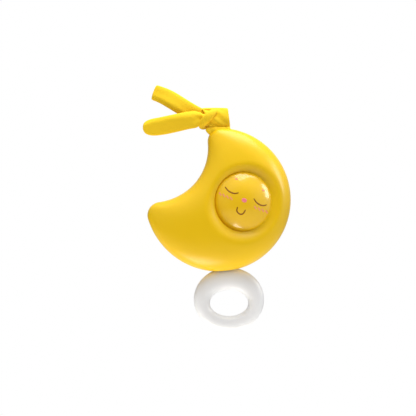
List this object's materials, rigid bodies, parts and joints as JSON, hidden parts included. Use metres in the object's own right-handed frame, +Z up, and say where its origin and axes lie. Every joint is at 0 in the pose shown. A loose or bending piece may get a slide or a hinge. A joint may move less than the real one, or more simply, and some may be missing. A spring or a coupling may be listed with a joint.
{
  "type": "musical cot pendant",
  "caption": "Crescent-moon musical cot pendant with a sleeping face, hung by a knotted fabric tie, with a pull ring whose cord winds the movement inside.",
  "frame": {"origin": "top of the fabric tie's loop, where it hangs on the cot rail", "axes": "+Z up, -Y towards the viewer of the face, +X to the viewer's right"},
  "size_m": [0.1406, 0.0581, 0.2389],
  "materials": {
    "moon_yellow": "satin moulded plastic",
    "dome_yellow": "polished moulded plastic",
    "ring_white": "satin moulded plastic",
    "yellow_jersey": "knitted cotton jersey",
    "white_braid": "braided cord",
    "steel": "plain",
    "spring_steel": "blued",
    "brass": "machined",
    "zinc_casting": "die-cast",
    "nylon": "moulded natural"
  },
  "bodies": {
    "tie": {"tie_knot": "yellow_jersey", "tie_band": "yellow_jersey", "tie_tail_upper": "yellow_jersey", "tie_tail_lower": "yellow_jersey"},
    "housing": {"front_shell": "moon_yellow", "rear_shell": "moon_yellow", "face_dome": "dome_yellow", "dome_keeper_ring": "nylon", "tie_anchor_pin": "steel", "tie_loop": "yellow_jersey", "cord_bush": "nylon", "spring_barrel": "brass", "barrel_lid": "brass", "mainspring": "spring_steel", "governor_bracket": "zinc_casting", "movement_frame": "zinc_casting", "comb": "spring_steel", "housing_screw_1": "steel", "housing_screw_2": "steel", "housing_screw_3": "steel", "housing_screw_4": "steel", "movement_screw_1": "steel", "movement_screw_2": "steel", "movement_screw_3": "steel", "comb_screw_1": "steel", "comb_screw_2": "steel"},
    "ring": {"pull_ring": "ring_white", "cord_knot": "white_braid", "pull_cord": "white_braid"},
    "drum": {"cord_drum": "nylon", "cord_winding": "white_braid", "drum_arbor": "steel", "ratchet_wheel": "steel"},
    "great": {"great_wheel": "brass", "ratchet_pawl": "steel"},
    "cylinder": {"pinned_cylinder": "brass", "cylinder_gear": "nylon", "train_wheel": "nylon", "cylinder_arbor": "steel"},
    "idler": {"idler_arbor": "steel", "idler_wheel": "nylon"},
    "governor": {"governor_arbor": "steel", "governor_fan": "nylon"}
  },
  "joints": [
    {"name": "moon_swing", "type": "hinge", "parent": "tie", "child": "housing", "pos_m": [0, 0, -0.0202], "axis": [1, 0, 0], "range_deg": [-30, 30]},
    {"name": "ring_pull", "type": "slide", "parent": "housing", "child": "ring", "axis": [0, 0, -1], "range_m": [0, 0.2], "stiffness_N_per_m": 15, "springref_m": -0.1, "deforming": ["pull_cord"]},
    {"name": "drum_turn", "type": "hinge", "parent": "housing", "child": "drum", "pos_m": [0.0006, 0.0075, -0.1187], "axis": [1, 0, 0], "range_deg": [0, 1528]},
    {"name": "great_turn", "type": "hinge", "parent": "housing", "child": "great", "pos_m": [0.0006, 0.0075, -0.1187], "axis": [1, 0, 0], "continuous": true},
    {"name": "cylinder_turn", "type": "hinge", "parent": "housing", "child": "cylinder", "pos_m": [0.0006, 0.0075, -0.1043], "axis": [1, 0, 0], "continuous": true},
    {"name": "idler_turn", "type": "hinge", "parent": "housing", "child": "idler", "pos_m": [0.0006, 0.0075, -0.0943], "axis": [1, 0, 0], "continuous": true},
    {"name": "governor_turn", "type": "hinge", "parent": "housing", "child": "governor", "pos_m": [0.0006, 0.0075, -0.0871], "axis": [1, 0, 0], "continuous": true}
  ],
  "couplings": [
    {"joint": "drum_turn", "follows": "ring_pull", "rad_per_m": 133.33},
    {"joint": "great_turn", "follows": "cylinder_turn", "ratio": -0.5},
    {"joint": "idler_turn", "follows": "cylinder_turn", "ratio": -4},
    {"joint": "governor_turn", "follows": "cylinder_turn", "ratio": 14}
  ]
}
